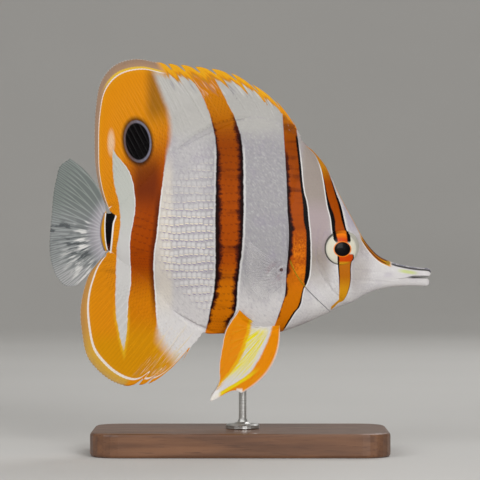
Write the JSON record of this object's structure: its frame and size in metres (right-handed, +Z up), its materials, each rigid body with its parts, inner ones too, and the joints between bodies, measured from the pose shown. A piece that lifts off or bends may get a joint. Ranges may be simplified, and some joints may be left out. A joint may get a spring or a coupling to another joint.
{
  "type": "copperband butterflyfish",
  "caption": "Still, life-size copperband butterflyfish: a deep banded body, long snout, eyespot and spread fins, held by a rod on a flat wooden base.",
  "frame": {"origin": "centre of the bottom of the whole, on the surface that the base stands on", "axes": "+X towards the fish's snout, +Z up, +Y to the fish's left side"},
  "size_m": [0.1602, 0.064, 0.1654],
  "materials": {
    "skin": "satin, scaled skin in silvery white with orange bands edged in dark brown",
    "banded_fin": "satin, ray-ribbed yellow-orange web with a pale blue line inside its edge",
    "clear_fin": "satin, pale grey web between fine rays",
    "eye": "polished, black pupil in an ivory iris crossed by the orange eye band",
    "walnut": "oiled walnut",
    "steel": "brushed"
  },
  "bodies": {
    "root": {"torso": "skin", "tail_stalk": "skin", "head": "skin", "snout": "skin", "lower_jaw": "skin", "eye_right": "eye", "eye_left": "eye", "spiny_dorsal_fin": "banded_fin", "soft_dorsal_fin": "banded_fin", "anal_fin": "banded_fin", "pelvic_fin_right": "banded_fin", "pelvic_fin_left": "banded_fin", "tail_fin": "clear_fin", "pectoral_fin_right": "clear_fin", "pectoral_fin_left": "clear_fin", "stand_base": "walnut", "stand_rod": "steel"}
  },
  "joints": []
}
